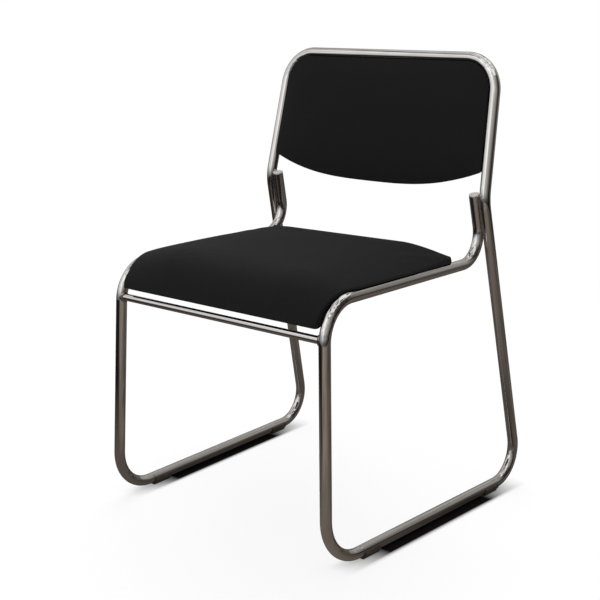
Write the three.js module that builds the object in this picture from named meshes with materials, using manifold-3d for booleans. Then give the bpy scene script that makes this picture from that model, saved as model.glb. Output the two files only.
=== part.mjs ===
// Sled base visitor chair: a bent steel tube frame with an upholstered seat and back.
// Millimetres, +Z up, the chair faces -Y, and X is its width.

import * as THREE from 'three';
import Module from 'manifold-3d';
import { mergeVertices } from 'three/addons/utils/BufferGeometryUtils.js';

const wasm = await Module();
wasm.setup();

// Tube stock
const tubeDiameter = 19;
const tubeWall = 1.2;
const crossTubeDiameter = 12.7;
const crossTubeWall = 1;

// Frame in side view, heights and depths of the tube axes
const runnerLength = 544;        // front floor corner to rear floor corner
const seatRailHeight = 430;
const frontLegLean = 12;         // how far the leg's top lies behind its foot
const rearLegLean = 122;         // how far the knee lies in front of the rear floor corner
const kneeHeight = 539;
const backRake = 49;             // how far the top bar lies behind the knee
const topBarHeight = 775;
const stubTopHeight = 546;
const crossTubeHeight = 374;

// Frame in front view, distances between the left and right tube axes
const frontFootSpread = 478;
const rearFootSpread = 518;
const frontRailSpread = 446;
const kneeSpread = 485;
const topCornerSpread = 459;

// Bend radii of the tube axes
const frontFootBend = 75;
const rearFootBend = 58;
const frontSeatBend = 64;
const rearSeatBend = 50;
const kneeBend = 80;
const topBend = 61;

// Clearances between neighbouring pieces
const seatGap = 0.3;             // pieces that touch
const fitGap = 0.35;             // a piece inside another one's bore

// Runner joints and stub plugs
const jointSetback = 4;          // from the end of the front floor bend to the joint
const ferruleLength = 60;
const ferruleWall = 1.5;
const plugDepth = 14;
const plugCapThickness = 2;

// Glides
const glideLength = 42;
const glideWall = 2.2;
const glideSole = 3;             // height of the tube above the floor
const glideSoleWidth = 14;
const glideLipRise = 2;          // how far the clip's lips reach above the tube axis
const frontGlideSetback = 6;     // from the end of the floor bend to the glide
const rearGlideSetback = 3;

// Seat pad
const seatBoardDrop = 2;         // board underside below the rail axis
const seatBoardThickness = 10;
const seatRearInset = 33;        // from the rear bend's start to the pad's rear edge
const seatFrontSweepShare = 0.79; // share of the front bend that the pad follows
const seatEdgeHeight = 16;       // top edge of the pad's sides, above the board underside
const seatCrown = 15.5;          // rise of the foam from its edge
const seatDome = 1.5;            // further rise towards the middle
const seatSideSpan = 75;         // width of the foam's rising rim
const seatFrontSpan = 60;
const seatRearSpan = 16;
const seatCornerRadius = 12;
const seatDraw = 1;              // how far the sides draw in between the corners
const seatFoamLap = 6;           // how far the foam reaches past the board's sides
const seatFrontLapShare = 0.7;   // share of the pad's lap over the rails that is left at its front

// Sides of the cover, ring by ring from the top edge down: how far each ring reaches past the
// board's side, its height, and how its inner side lies (lift 1 above it, -1 below, 0 level)
const seatSideRings = [
  { lap: 15.2, height: seatEdgeHeight, lift: -1 },
  { lap: 17, height: 12.9, lift: 0 },
  { lap: 16.4, height: 10.9, lift: 1 },
  { lap: 10.6, height: 9.5, lift: 1 },
  { lap: 2, height: 9, lift: 1 },
];
const seatFoamRings = [
  { lap: seatFoamLap, height: seatEdgeHeight, lift: -1 },
  { lap: seatFoamLap, height: 9.5, lift: 1 },
  { lap: 2, height: 9, lift: 1 },
];

// Back pad
const backBoardThickness = 8;
const backBoardRear = 8;         // board's rear face behind the tube axes
const backCornerRise = 43;       // lower corners above the knees
const backBottomBow = 31;        // how far the lower edge bows down in the middle
const backEdgeHeight = 16;       // side height of the pad, from the board's rear face
const backCrown = 8;
const backDome = 3;
const backCrownSpan = 55;
const backTopCornerRadius = 54;
const backLowerCornerRadius = 16;
const backDraw = 1;
const backSideRings = [
  { lap: 3.5, height: backEdgeHeight, lift: -1 },
  { lap: 0.6, height: 10.4, lift: 0 },
];
const backFoamRings = [{ lap: 1.8, height: backEdgeHeight, lift: -1 }];

// Upholstery
const coverThickness = 1.2;
const coverLip = 14;             // width of the cover that turns under the board
const panelThickness = 1;        // cloth panels that close the undersides
const liningGap = 1.0;           // between a cover and the foam and board inside it
const padSideGap = 1.1;          // between the pads' sides and the tubes
const padLapGap = 1.4;           // between the seat pad's lap and the rail under it

// Straps and tabs that carry the pads
const strapThickness = 3;
const strapWidth = 28;
const frontStrapSetback = 78;    // behind the start of the rails' front bend
const rearStrapInset = 45;       // in front of the pad's rear edge
const tabThickness = 2.5;
const tabWidth = 24;
const tabLap = 3;                // how far a tab reaches outwards past the upright's axis
const tabReach = 40;             // and inwards
const lowerTabShare = 0.22;      // share of the back pad's side, from its lower corner up
const upperTabShare = 0.71;
const carrierHole = 7;

// Screws and the flanged nuts in the boards
const seatScrewInset = 42;       // screw axis inside the rail axis
const backScrewInset = 30;       // screw axis inside the upright axis
const screwDiameter = 6;
const seatScrewLength = 14;
const backScrewLength = 11;
const screwTip = 0.8;            // chamfer
const screwHeadDiameter = 12;
const screwHeadHeight = 3.4;
const screwHeadRim = 1.8;        // straight part of the head's side
const screwSocket = 4;           // across flats
const screwSocketDepth = 2;
const hexSides = 6;
const nutFlangeDiameter = 19;
const nutFlangeThickness = 1.5;
const nutBarrelDiameter = 8.4;
const nutBarrelLength = 6.5;
const overrun = 5;               // how far a cut reaches past what it cuts

// Faces of the round forms
const tubeSides = 16;
const bendStep = Math.PI / 12;
const smallSides = 10;
const glideBoreSteps = 12;
const glideSideSteps = 3;

// Form of the foam: how quickly it rises from its edge, and how its sides and lower edge curve
const crownPower = 2;
const bowPower = 2.9;
const columnShares = [-1, -0.96, -0.87, -0.7, -0.4, 0, 0.4, 0.7, 0.87, 0.96, 1];
const edgeColumnShares = [-1, 1];
const cornerSteps = 3;

// Finishes
const finishes = {
  chrome: new THREE.MeshStandardMaterial({ color: 0xd6d4d0, metalness: 1, roughness: 0.12 }),
  zinc: new THREE.MeshStandardMaterial({ color: 0xb4b7bb, metalness: 1, roughness: 0.4 }),
  fabric: new THREE.MeshStandardMaterial({ color: 0x1c1c1e, metalness: 0, roughness: 0.9 }),
  cloth: new THREE.MeshStandardMaterial({ color: 0x232323, metalness: 0, roughness: 0.95 }),
  plywood: new THREE.MeshStandardMaterial({ color: 0xc6a374, metalness: 0, roughness: 0.7 }),
  foam: new THREE.MeshStandardMaterial({ color: 0xe3d9b4, metalness: 0, roughness: 0.95 }),
  glide: new THREE.MeshStandardMaterial({ color: 0x53463c, metalness: 0, roughness: 0.45 }),
  plug: new THREE.MeshStandardMaterial({ color: 0xb9b9b5, metalness: 0, roughness: 0.5 }),
};

const chair = new THREE.Group();

function addPiece(name, geometry, finish) {
  const piece = new THREE.Mesh(geometry, finish);
  piece.name = name;
  chair.add(piece);
  return piece;
}

// Sizes that several pieces share
const tubeRadius = tubeDiameter / 2;
const crossTubeRadius = crossTubeDiameter / 2;
const runnerHeight = glideSole + tubeRadius;
const sides = [
  { name: 'left', sign: -1 },
  { name: 'right', sign: 1 },
];

// Corners of the tube axes on the +X side
const frontFoot = new THREE.Vector3(frontFootSpread / 2, 0, runnerHeight);
const rearFoot = new THREE.Vector3(rearFootSpread / 2, runnerLength, runnerHeight);
const frontSeat = new THREE.Vector3(frontRailSpread / 2, frontLegLean, seatRailHeight);
const knee = new THREE.Vector3(kneeSpread / 2, runnerLength - rearLegLean, kneeHeight);
const topCorner = new THREE.Vector3(topCornerSpread / 2, knee.y + backRake, topBarHeight);

// The stub runs along the inner side of the rear leg, one tube away from it
const stubOffset = tubeDiameter + seatGap;
const alongLeg = (height) => {
  const share = (height - rearFoot.z) / (knee.z - rearFoot.z);
  const point = new THREE.Vector3().lerpVectors(rearFoot, knee, share);
  point.x -= stubOffset;
  return point;
};
const rearSeat = alongLeg(seatRailHeight);
const stubTop = alongLeg(stubTopHeight);

// Distance from a corner to where its bend starts
function bendReach(before, corner, after, radius) {
  const arriving = new THREE.Vector3().subVectors(corner, before);
  const leaving = new THREE.Vector3().subVectors(after, corner);
  return radius * Math.tan(arriving.angleTo(leaving) / 2);
}

const towards = (from, to, distance) =>
  new THREE.Vector3().subVectors(to, from).setLength(distance).add(from);

const frontFootReach = bendReach(frontSeat, frontFoot, rearFoot, frontFootBend);
const rearFootReach = bendReach(frontFoot, rearFoot, knee, rearFootBend);
const frontSeatReach = bendReach(rearSeat, frontSeat, frontFoot, frontSeatBend);
const rearSeatReach = bendReach(frontSeat, rearSeat, stubTop, rearSeatBend);
const runnerJoint = towards(frontFoot, rearFoot, frontFootReach + jointSetback);
const loopEnd = towards(frontFoot, rearFoot, frontFootReach + jointSetback + seatGap);

// Tube axis: straight runs joined by round bends, with a station at every bend step
class TubeRoute extends THREE.Curve {
  constructor(corners) {
    super();
    this.stations = [];
    const last = corners.length - 1;
    corners.forEach(({ at, bend }, index) => {
      if (index === 0 || index === last) {
        const heading = index === 0
          ? new THREE.Vector3().subVectors(corners[1].at, at)
          : new THREE.Vector3().subVectors(at, corners[last - 1].at);
        this.stations.push({ point: at, tangent: heading.normalize() });
        return;
      }
      this.addBend(corners[index - 1].at, at, corners[index + 1].at, bend);
    });
  }

  addBend(before, corner, after, radius) {
    const arriving = new THREE.Vector3().subVectors(corner, before).normalize();
    const leaving = new THREE.Vector3().subVectors(after, corner).normalize();
    const turn = arriving.angleTo(leaving);
    const inward = leaving.clone().addScaledVector(arriving, -Math.cos(turn)).normalize();
    const start = corner.clone().addScaledVector(arriving, -radius * Math.tan(turn / 2));
    const steps = Math.ceil(turn / bendStep);
    for (let step = 0; step <= steps; step += 1) {
      const angle = (turn * step) / steps;
      const point = start.clone()
        .addScaledVector(arriving, radius * Math.sin(angle))
        .addScaledVector(inward, radius * (1 - Math.cos(angle)));
      const tangent = arriving.clone().multiplyScalar(Math.cos(angle))
        .addScaledVector(inward, Math.sin(angle));
      this.stations.push({ point, tangent });
    }
  }

  station(share) {
    return this.stations[Math.round(share * (this.stations.length - 1))];
  }

  getPoint(share, target = new THREE.Vector3()) {
    return target.copy(this.station(share).point);
  }

  getPointAt(share, target) {
    return this.getPoint(share, target);
  }

  getTangentAt(share, target = new THREE.Vector3()) {
    return target.copy(this.station(share).tangent);
  }
}

function circlePoints(radius, count) {
  return Array.from({ length: count }, (_, index) => {
    const angle = (2 * Math.PI * index) / count;
    return new THREE.Vector2(radius * Math.cos(angle), radius * Math.sin(angle));
  });
}

function alongRoute(route, radius, boreRadius, count) {
  const section = new THREE.Shape(circlePoints(radius, count));
  if (boreRadius > 0) {
    section.holes.push(new THREE.Path(circlePoints(boreRadius, count)));
  }
  return new THREE.ExtrudeGeometry(section, { steps: route.stations.length - 1, extrudePath: route });
}

const straightRoute = (from, to) => new TubeRoute([{ at: from }, { at: to }]);

// Boolean cuts
function toSolid(geometry) {
  const bare = geometry.clone();
  bare.deleteAttribute('normal');
  bare.deleteAttribute('uv');
  const merged = mergeVertices(bare);
  return new wasm.Manifold(new wasm.Mesh({
    numProp: 3,
    vertProperties: Float32Array.from(merged.attributes.position.array),
    triVerts: Uint32Array.from(merged.index.array),
  }));
}

function toGeometry(solid) {
  const mesh = solid.getMesh();
  const geometry = new THREE.BufferGeometry();
  geometry.setAttribute('position', new THREE.BufferAttribute(mesh.vertProperties, 3));
  geometry.setIndex(new THREE.BufferAttribute(mesh.triVerts, 1));
  geometry.computeVertexNormals();
  return geometry;
}

function cutAway(geometry, tools) {
  const left = tools.reduce((solid, tool) => solid.subtract(toSolid(tool)), toSolid(geometry));
  return toGeometry(left);
}

// Turned pieces: a profile of [radius, height] pairs spun round an axis
function turned(profile, count) {
  const points = profile.map(([radius, height]) => new THREE.Vector2(radius, height));
  return new THREE.LatheGeometry(points, count);
}

// Lays a piece that was made along +Y at a point, with its +Y turned to a direction
function laid(geometry, at, direction) {
  const turn = new THREE.Quaternion().setFromUnitVectors(new THREE.Vector3(0, 1, 0), direction);
  return geometry.clone().applyQuaternion(turn).translate(at.x, at.y, at.z);
}

const mirrored = (point, sign) => new THREE.Vector3(point.x * sign, point.y, point.z);

// Back loop: one tube from joint to joint by way of both rear legs and the top bar
const loopCorners = [
  { at: loopEnd },
  { at: rearFoot, bend: rearFootBend },
  { at: knee, bend: kneeBend },
  { at: topCorner, bend: topBend },
];
const backLoopRoute = new TubeRoute([
  ...loopCorners,
  ...loopCorners.toReversed().map(({ at, bend }) => ({ at: mirrored(at, -1), bend })),
]);
addPiece(
  'back_loop_tube',
  alongRoute(backLoopRoute, tubeRadius, tubeRadius - tubeWall, tubeSides),
  finishes.chrome,
);

// Seat tubes: front floor bend, front leg, seat rail and the stub beside the rear leg
const seatRoute = (sign) => new TubeRoute([
  { at: mirrored(runnerJoint, sign) },
  { at: mirrored(frontFoot, sign), bend: frontFootBend },
  { at: mirrored(frontSeat, sign), bend: frontSeatBend },
  { at: mirrored(rearSeat, sign), bend: rearSeatBend },
  { at: mirrored(stubTop, sign) },
]);
for (const { name, sign } of sides) {
  const tube = alongRoute(seatRoute(sign), tubeRadius, tubeRadius - tubeWall, tubeSides);
  addPiece(`${name}_seat_tube`, tube, finishes.chrome);
}

// Ferrules inside the runner joints
const ferruleRadius = tubeRadius - tubeWall - fitGap;
for (const { name, sign } of sides) {
  const ahead = mirrored(towards(runnerJoint, rearFoot, ferruleLength / 2), sign);
  const behind = mirrored(towards(runnerJoint, rearFoot, -jointSetback), sign);
  const route = straightRoute(behind, ahead);
  const ferrule = alongRoute(route, ferruleRadius, ferruleRadius - ferruleWall, tubeSides);
  addPiece(`${name}_joint_ferrule`, ferrule, finishes.zinc);
}

// Plugs in the open tops of the stubs
const plugRadius = tubeRadius - tubeWall - fitGap;
const stubDirection = new THREE.Vector3().subVectors(stubTop, rearSeat).normalize();
for (const { name, sign } of sides) {
  const plug = turned([
    [0, -plugDepth],
    [plugRadius, -plugDepth],
    [plugRadius, seatGap],
    [tubeRadius, seatGap],
    [tubeRadius, seatGap + plugCapThickness],
    [0, seatGap + plugCapThickness],
  ], tubeSides);
  const direction = mirrored(stubDirection, sign);
  addPiece(`${name}_stub_plug`, laid(plug, mirrored(stubTop, sign), direction), finishes.plug);
}

// Front cross tube, coped to the front legs
const crossShare = (seatRailHeight - crossTubeHeight) / (seatRailHeight - runnerHeight);
const crossEnd = new THREE.Vector3().lerpVectors(frontSeat, frontFoot, crossShare);
const legCutters = sides.map(({ sign }) => alongRoute(seatRoute(sign), tubeRadius + seatGap, 0, tubeSides));
const crossTube = alongRoute(
  straightRoute(mirrored(crossEnd, -1), crossEnd),
  crossTubeRadius,
  crossTubeRadius - crossTubeWall,
  smallSides,
);
addPiece('front_cross_tube', cutAway(crossTube, legCutters), finishes.chrome);

// Glides: clips round the underside of the runners, with a flat sole
const glideBore = tubeRadius + seatGap;
const glideOuter = glideBore + glideWall;
function glideSection() {
  const lipAngle = Math.asin(glideLipRise / glideOuter);
  const footAngle = Math.acos(glideSoleWidth / 2 / glideOuter);
  const points = [];
  const arc = (radius, from, to, steps) => {
    for (let step = 0; step <= steps; step += 1) {
      const angle = from + ((to - from) * step) / steps;
      points.push(new THREE.Vector2(radius * Math.cos(angle), radius * Math.sin(angle)));
    }
  };
  arc(glideOuter, lipAngle, -footAngle, glideSideSteps);
  points.push(new THREE.Vector2(glideSoleWidth / 2, -runnerHeight));
  points.push(new THREE.Vector2(-glideSoleWidth / 2, -runnerHeight));
  arc(glideOuter, Math.PI + footAngle, Math.PI - lipAngle, glideSideSteps);
  arc(glideBore, Math.PI - lipAngle, 2 * Math.PI + lipAngle, glideBoreSteps);
  return new THREE.Shape(points);
}

const runnerHeading = new THREE.Vector3().subVectors(rearFoot, frontFoot).normalize();
const glidePlaces = [
  { name: 'front', at: frontFootReach + frontGlideSetback },
  { name: 'rear', at: frontFoot.distanceTo(rearFoot) - rearFootReach - rearGlideSetback - glideLength },
];
for (const { name: side, sign } of sides) {
  for (const { name, at } of glidePlaces) {
    const glide = new THREE.ExtrudeGeometry(glideSection(), { depth: glideLength, steps: 1, bevelEnabled: false });
    glide.rotateX(Math.PI / 2).rotateZ(Math.PI);
    const heading = mirrored(runnerHeading, sign);
    glide.rotateZ(Math.atan2(-heading.x, heading.y));
    const place = mirrored(towards(frontFoot, rearFoot, at), sign);
    addPiece(`${side}_${name}_glide`, glide.translate(place.x, place.y, place.z), finishes.glide);
  }
}

// Seat pad frame: a line along the board's underside, from the rear edge to the front lower edge,
// straight between the rails and then round with their front bend
const seatBendCentre = new THREE.Vector2(frontLegLean + frontSeatReach, seatRailHeight - frontSeatBend);
const seatLineRadius = frontSeatBend - seatBoardDrop;
const seatRearY = rearSeat.y - rearSeatReach - seatRearInset;
const seatStraight = seatRearY - seatBendCentre.x;
const frontSeatTurn = 2 * Math.atan(frontSeatReach / frontSeatBend);
const seatSweep = frontSeatTurn * seatFrontSweepShare;
const seatLength = seatStraight + seatLineRadius * seatSweep;

// Maps width, distance from the rear edge and height above the board's underside into space
function onSeat(x, distance, height) {
  const angle = Math.max(0, distance - seatStraight) / seatLineRadius;
  const flat = Math.min(distance, seatStraight);
  const radius = seatLineRadius + height;
  return new THREE.Vector3(
    x,
    seatRearY - flat - radius * Math.sin(angle),
    seatBendCentre.y + radius * Math.cos(angle),
  );
}

function railAxisX(distance) {
  const share = (seatRearY - distance - frontSeat.y) / (rearSeat.y - frontSeat.y);
  return THREE.MathUtils.lerp(frontSeat.x, rearSeat.x, Math.max(0, share));
}

// Closed sheet: a grid over the top, rings round its edge, and a grid underneath.
// Columns run across the width from -1 to 1 and rows along the length from 0 to 1.
function closedSheet(columns, rows, layers) {
  const positions = [];
  const triangles = [];
  const addPoint = (point) => positions.push(point.x, point.y, point.z) / 3 - 1;
  const addGrid = (layer, flipped) => {
    const grid = rows.map((row) => columns.map((column) => addPoint(layer(column, row))));
    for (let r = 1; r < rows.length; r += 1) {
      for (let c = 1; c < columns.length; c += 1) {
        const [a, b, d, e] = [grid[r - 1][c - 1], grid[r - 1][c], grid[r][c], grid[r][c - 1]];
        triangles.push(...(flipped ? [a, d, b, a, e, d] : [a, b, d, a, d, e]));
      }
    }
    return rimOf(grid);
  };
  const rimOf = (grid) => [
    ...grid[0],
    ...grid.slice(1, -1).map((line) => line.at(-1)),
    ...grid.at(-1).toReversed(),
    ...grid.slice(1, -1).map((line) => line[0]).toReversed(),
  ];
  const shares = rows.map((row) => columns.map((column) => [column, row]));
  const rimShares = rimOf(shares);
  const bridge = (upper, lower) => {
    upper.forEach((from, index) => {
      const next = (index + 1) % upper.length;
      triangles.push(from, lower[index], lower[next], from, lower[next], upper[next]);
    });
  };
  const [top, ...rest] = layers;
  const bottom = rest.pop();
  let rim = addGrid(top, false);
  for (const ring of rest) {
    const lower = rimShares.map(([column, row]) => addPoint(ring(column, row)));
    bridge(rim, lower);
    rim = lower;
  }
  bridge(rim, addGrid(bottom, true));
  const geometry = new THREE.BufferGeometry();
  geometry.setAttribute('position', new THREE.Float32BufferAttribute(positions, 3));
  geometry.setIndex(triangles);
  geometry.computeVertexNormals();
  return geometry;
}

// Rise of the foam with the distance from its edge, as a share of the full rise
const rimRise = (distance, span) => 1 - (1 - THREE.MathUtils.clamp(distance / span, 0, 1)) ** crownPower;
const roundedBy = (distance, radius) =>
  radius - Math.sqrt(radius ** 2 - Math.max(0, radius - distance) ** 2);
const drawnBy = (row, draw) => draw * (1 - (2 * row - 1) ** 2);

// Places along a length, as shares: close together at round corners, even in each span between
function rowShares(length, firstCorner, lastCorner, spans) {
  const corner = (radius) => Array.from({ length: cornerSteps }, (_, step) =>
    radius * (1 - Math.cos((step * Math.PI) / 2 / cornerSteps)));
  const stops = corner(firstCorner);
  let from = firstCorner;
  for (const { to, steps } of spans) {
    for (let step = 0; step < steps; step += 1) {
      stops.push(from + ((to - from) * step) / steps);
    }
    from = to;
  }
  stops.push(from, ...corner(lastCorner).toReversed().map((stop) => length - stop));
  return stops.map((stop) => stop / length);
}

// Half the width between the pad's sides, at the board
const seatHalf = (distance) =>
  railAxisX(distance) - tubeRadius - padSideGap - drawnBy(distance / seatLength, seatDraw);

// The pad laps the rails less and less round their front bend
const lapLeft = (distance) => {
  const along = THREE.MathUtils.clamp((distance - seatStraight) / (seatLength - seatStraight), 0, 1);
  return THREE.MathUtils.lerp(1, seatFrontLapShare, along);
};

// Plan of the seat pad at an inset from its outline: width, and distance from the rear edge
function seatPlan(column, row, inset, lap) {
  const length = seatLength - 2 * inset;
  const distance = inset + row * length;
  const nearEnd = Math.min(row, 1 - row) * length;
  const corner = Math.max(0, seatCornerRadius - inset);
  const half = seatHalf(distance) + lap * lapLeft(distance) - inset - roundedBy(nearEnd, corner);
  return { x: column * half, distance };
}

function seatRise(x, distance) {
  const edge = seatHalf(distance) + seatSideRings[0].lap * lapLeft(distance);
  const ends = rimRise(distance, seatRearSpan) * rimRise(seatLength - distance, seatFrontSpan);
  const flanks = rimRise(edge - Math.abs(x), seatSideSpan);
  return seatCrown * ends * flanks + seatDome * (1 - (x / edge) ** 2) * drawnBy(distance / seatLength, 1);
}

// Height of the pad where it rests on a rail, at an offset outwards from the rail's axis
const overRail = (offset, gap) =>
  seatBoardDrop + Math.sqrt(Math.max(0, (tubeRadius + gap) ** 2 - offset ** 2));

// One layer of the seat pad: a ring of its sides at an inset, clear of the rails where it laps them.
// Its rows run from the rear to the front, so its columns run from +X to -X.
const seatLayer = ({ lap, height, lift = 0 }, inset, crowned = false) => (column, row) => {
  const { x, distance } = seatPlan(column, row, inset, lap);
  const above = height + lift * inset + (crowned ? seatRise(x, distance) : 0);
  const clear = lap > 0 ? overRail(Math.abs(x) - railAxisX(distance), padLapGap + inset) : above;
  return onSeat(-x, distance, Math.max(above, clear));
};
const seatRowShares = rowShares(seatLength, seatCornerRadius, seatCornerRadius, [
  { to: seatSideSpan, steps: 3 },
  { to: seatStraight, steps: 4 },
  { to: seatLength - seatCornerRadius, steps: 7 },
]);

// Frame of the back pad: height along the uprights from the knees, and depth behind their axes
const backUp = new THREE.Vector3(0, backRake, topBarHeight - kneeHeight);
const uprightLength = backUp.length();
backUp.normalize();
const backward = new THREE.Vector3(0, backUp.z, -backUp.y);
const backOrigin = new THREE.Vector3(0, knee.y, knee.z);
const onBack = (x, along, depth) => new THREE.Vector3(x, 0, 0)
  .add(backOrigin)
  .addScaledVector(backUp, along)
  .addScaledVector(backward, depth);
const uprightAxisX = (along) => THREE.MathUtils.lerp(knee.x, topCorner.x, along / uprightLength);

// Where the pad's lower corners and its top edge lie along the uprights
const backBottom = backCornerRise / backUp.z;
const backTop = uprightLength - tubeRadius - padSideGap;

// Plan of the back pad at an inset from its outline: width, and place along the uprights
function backPlan(column, row, inset, lap) {
  const bow = backBottomBow * (1 - Math.abs(column) ** bowPower);
  const bottom = backBottom - bow + inset - lap;
  const top = backTop - inset + lap;
  const along = THREE.MathUtils.lerp(bottom, top, row);
  const half = uprightAxisX(along) - tubeRadius - padSideGap - inset - drawnBy(row, backDraw) + lap;
  const lowerCorner = roundedBy(along - bottom, Math.max(0, backLowerCornerRadius - inset));
  const topCornerCut = roundedBy(top - along, backTopCornerRadius - inset);
  return { x: column * (half - lowerCorner - topCornerCut), along, half, bottom, top };
}

function backRise(column, row) {
  const { x, along, half, bottom, top } = backPlan(column, row, 0, 0);
  const ends = rimRise(Math.min(along - bottom, top - along), backCrownSpan);
  const flanks = rimRise(half - Math.abs(x), backCrownSpan);
  return backCrown * ends * flanks + backDome * (1 - column ** 2) * drawnBy(row, 1);
}

// One layer of the back pad: a ring of its sides at an inset
const backLayer = ({ lap, height, lift = 0 }, inset, crowned = false) => (column, row) => {
  const { x, along } = backPlan(column, row, inset, lap);
  const above = height + lift * inset + (crowned ? backRise(column, row) : 0);
  return onBack(x, along, backBoardRear - above);
};
const backPadHeight = backTop - backBottom + backBottomBow;
const backRowShares = rowShares(backPadHeight, backLowerCornerRadius, backTopCornerRadius, [
  { to: backCrownSpan, steps: 2 },
  { to: backPadHeight - backTopCornerRadius, steps: 3 },
]);

// Both pads: a board, the foam on it, a cover that turns under the board, and a closing panel
const pads = [
  {
    name: 'seat',
    layer: seatLayer,
    rows: seatRowShares,
    boardThickness: seatBoardThickness,
    sideRings: seatSideRings,
    foamRings: seatFoamRings,
    panel: 'seat_dust_panel',
  },
  {
    name: 'back',
    layer: backLayer,
    rows: backRowShares,
    boardThickness: backBoardThickness,
    sideRings: backSideRings,
    foamRings: backFoamRings,
    panel: 'back_rear_panel',
  },
];
const liningInset = coverThickness + liningGap;

const atSide = (height) => ({ lap: 0, height });

function coverSheet({ layer, rows, sideRings }) {
  const lipTop = atSide(-seatGap);
  const lipUnderside = atSide(-seatGap - coverThickness);
  const [edge, ...skirt] = sideRings;
  return closedSheet(columnShares, rows, [
    layer(edge, 0, true),
    ...skirt.map((ring) => layer(ring, 0)),
    layer(lipUnderside, 0),
    layer(lipUnderside, coverLip),
    layer(lipTop, coverLip),
    layer(lipTop, coverThickness),
    ...skirt.toReversed().map((ring) => layer(ring, coverThickness)),
    layer(edge, coverThickness, true),
  ]);
}

function foamSheet({ layer, rows, boardThickness, foamRings }) {
  const [edge, ...skirt] = foamRings;
  return closedSheet(columnShares, rows, [
    layer(edge, liningInset, true),
    ...skirt.map((ring) => layer(ring, liningInset)),
    layer(atSide(boardThickness + seatGap), liningInset),
  ]);
}

const flatSheet = ({ layer, rows }, inset, upper, lower) => closedSheet(edgeColumnShares, rows, [
  layer(atSide(upper), inset),
  layer(atSide(lower), inset),
]);

// Turned fasteners, made along +Y from the face that they bear on
const nutBore = screwDiameter / 2 + fitGap;
const nut = turned([
  [nutBore, -nutBarrelLength],
  [nutBarrelDiameter / 2, -nutBarrelLength],
  [nutBarrelDiameter / 2, 0],
  [nutFlangeDiameter / 2, 0],
  [nutFlangeDiameter / 2, nutFlangeThickness],
  [nutBore, nutFlangeThickness],
  [nutBore, -nutBarrelLength],
], smallSides);

function screw(length) {
  const body = turned([
    [0, -screwHeadHeight],
    [screwHeadDiameter / 2 - (screwHeadHeight - screwHeadRim), -screwHeadHeight],
    [screwHeadDiameter / 2, -screwHeadRim],
    [screwHeadDiameter / 2, 0],
    [screwDiameter / 2, 0],
    [screwDiameter / 2, length - screwTip],
    [screwDiameter / 2 - screwTip, length],
    [0, length],
  ], smallSides);
  const socketHeight = screwSocketDepth + overrun;
  const socketRadius = screwSocket / Math.sqrt(3);
  const socket = new THREE.CylinderGeometry(socketRadius, socketRadius, socketHeight, hexSides);
  socket.translate(0, screwSocketDepth - screwHeadHeight - socketHeight / 2, 0);
  return cutAway(body, [socket]);
}

const holeCutter = (diameter, from, to) => new THREE.CylinderGeometry(
  diameter / 2,
  diameter / 2,
  to - from,
  smallSides,
).translate(0, (from + to) / 2, 0);

// Where the screws stand: an axis point on the board's underside or rear face, and the screw's heading
const seatHeading = new THREE.Vector3(0, 0, 1);
const backHeading = backward.clone().negate();
const seatScrews = sides.flatMap(({ name, sign }) => [
  { name: `${name}_front`, distance: seatStraight - frontStrapSetback },
  { name: `${name}_rear`, distance: rearStrapInset },
].map(({ name: place, distance }) => ({
  name: place,
  at: onSeat(sign * (railAxisX(distance) - seatScrewInset), distance, 0),
})));
const backScrews = sides.flatMap(({ name, sign }) => [
  { name: `${name}_lower`, along: THREE.MathUtils.lerp(backBottom, backTop, lowerTabShare) },
  { name: `${name}_upper`, along: THREE.MathUtils.lerp(backBottom, backTop, upperTabShare) },
].map(({ name: place, along }) => ({
  name: place,
  at: onBack(sign * (uprightAxisX(along) - backScrewInset), along, backBoardRear),
})));

const carrierGap = seatGap + coverThickness + seatGap;   // from the board to the strap or tab
const fastening = {
  seat: { screws: seatScrews, heading: seatHeading, carrier: strapThickness, length: seatScrewLength },
  back: { screws: backScrews, heading: backHeading, carrier: tabThickness, length: backScrewLength },
};

for (const pad of pads) {
  const { screws, heading, carrier, length } = fastening[pad.name];
  const nutSeat = pad.boardThickness + seatGap;
  const barrelRoom = nutBarrelDiameter + 2 * seatGap;
  const flangeRoom = nutFlangeDiameter + 2 * seatGap;
  const placed = (tool) => screws.map(({ at }) => laid(tool, at, heading));
  const boardHoles = placed(holeCutter(barrelRoom, -overrun, pad.boardThickness + overrun));
  const panelHoles = placed(holeCutter(carrierHole, -carrierGap - overrun, overrun));
  const foamRecesses = placed(holeCutter(flangeRoom, 0, nutSeat + nutFlangeThickness + seatGap));

  const board = flatSheet(pad, liningInset, pad.boardThickness, 0);
  addPiece(`${pad.name}_board`, cutAway(board, boardHoles), finishes.plywood);
  addPiece(`${pad.name}_foam`, cutAway(foamSheet(pad), foamRecesses), finishes.foam);
  addPiece(`${pad.name}_cover`, coverSheet(pad), finishes.fabric);
  const panel = flatSheet(pad, coverLip + seatGap, -seatGap, -seatGap - panelThickness);
  addPiece(pad.panel, cutAway(panel, panelHoles), finishes.cloth);

  const headSeat = -(carrierGap + carrier + seatGap);
  for (const { name, at } of screws) {
    const nutPlace = at.clone().addScaledVector(heading, nutSeat);
    const screwPlace = at.clone().addScaledVector(heading, headSeat);
    addPiece(`${pad.name}_nut_${name}`, laid(nut, nutPlace, heading), finishes.zinc);
    addPiece(`${pad.name}_screw_${name}`, laid(screw(length), screwPlace, heading), finishes.zinc);
  }
}

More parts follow.
